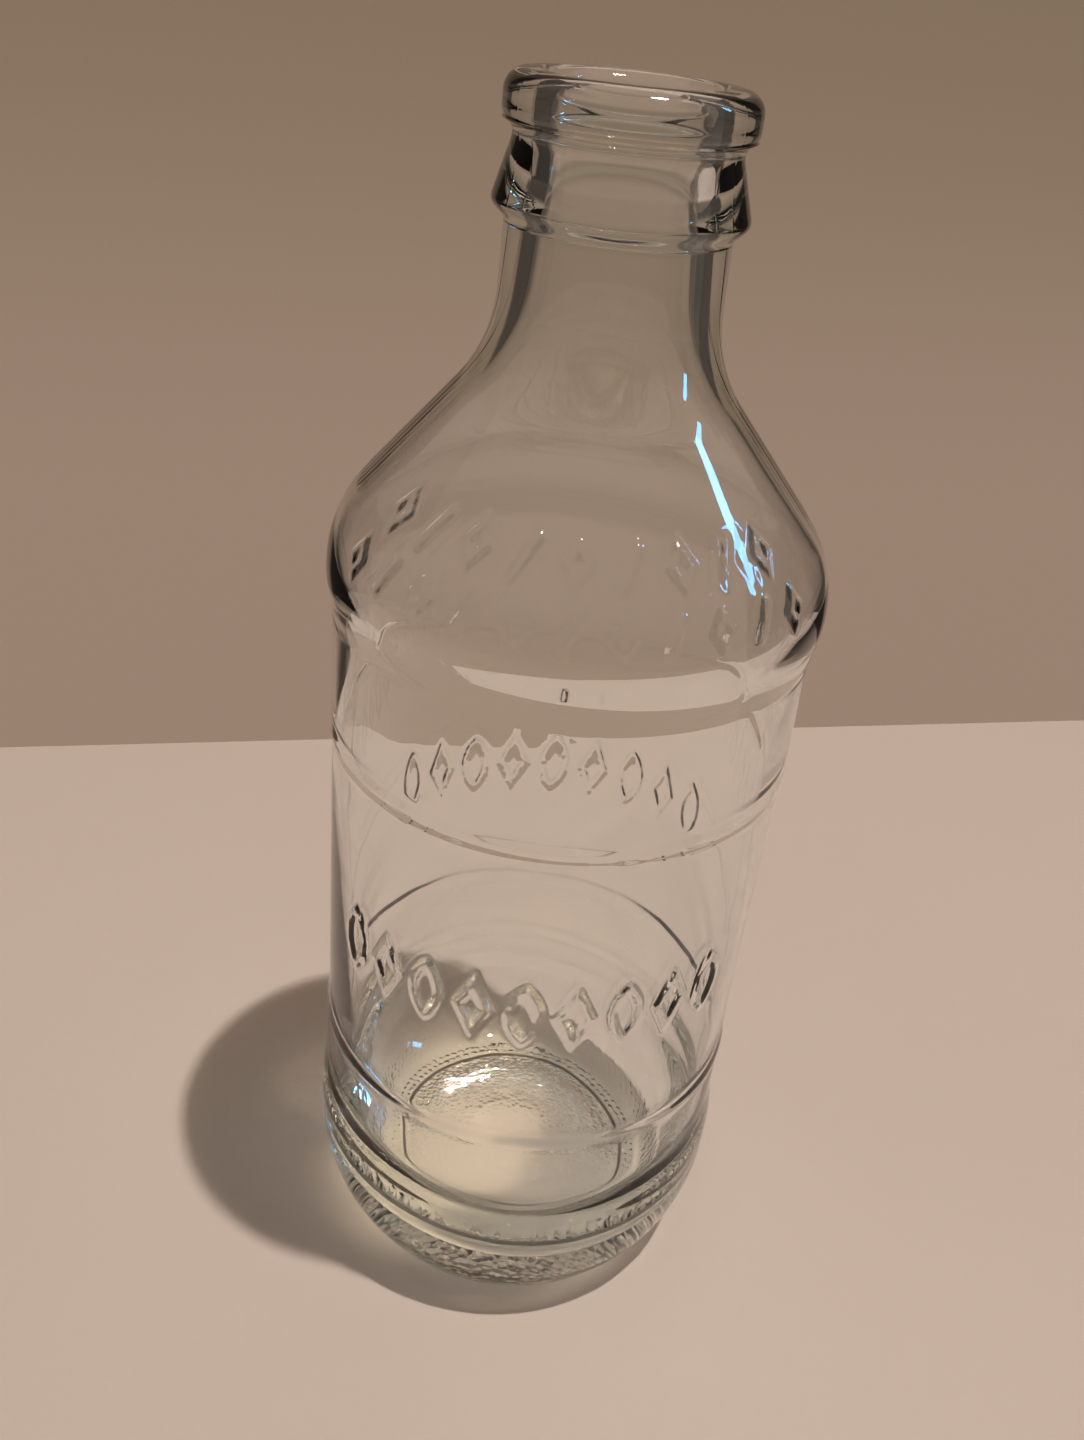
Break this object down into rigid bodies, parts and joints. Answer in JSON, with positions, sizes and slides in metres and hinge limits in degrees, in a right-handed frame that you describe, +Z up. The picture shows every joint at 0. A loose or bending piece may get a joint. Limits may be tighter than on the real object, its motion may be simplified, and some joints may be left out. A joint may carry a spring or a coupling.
{
  "type": "glass bottle",
  "caption": "Empty stubby bottle of clear glass with a crown-cap mouth, conical collar, swelling shoulder, recessed label panel and raised ornament.",
  "frame": {"origin": "centre of the flat resting face under the base", "axes": "+Z up the bottle's axis, from the resting face to the mouth"},
  "size_m": [0.0608, 0.0608, 0.161],
  "materials": {
    "clear_glass": "clear moulded soda-lime glass, fire-polished, faint green-blue tint where it is thick"
  },
  "bodies": {
    "root": {"base": "clear_glass", "heel": "clear_glass", "foot_band": "clear_glass", "label_panel": "clear_glass", "waist_band": "clear_glass", "shoulder": "clear_glass", "neck": "clear_glass", "collar": "clear_glass", "crown_bead": "clear_glass", "shoulder_ornament": "clear_glass", "panel_ornament": "clear_glass"}
  },
  "joints": []
}
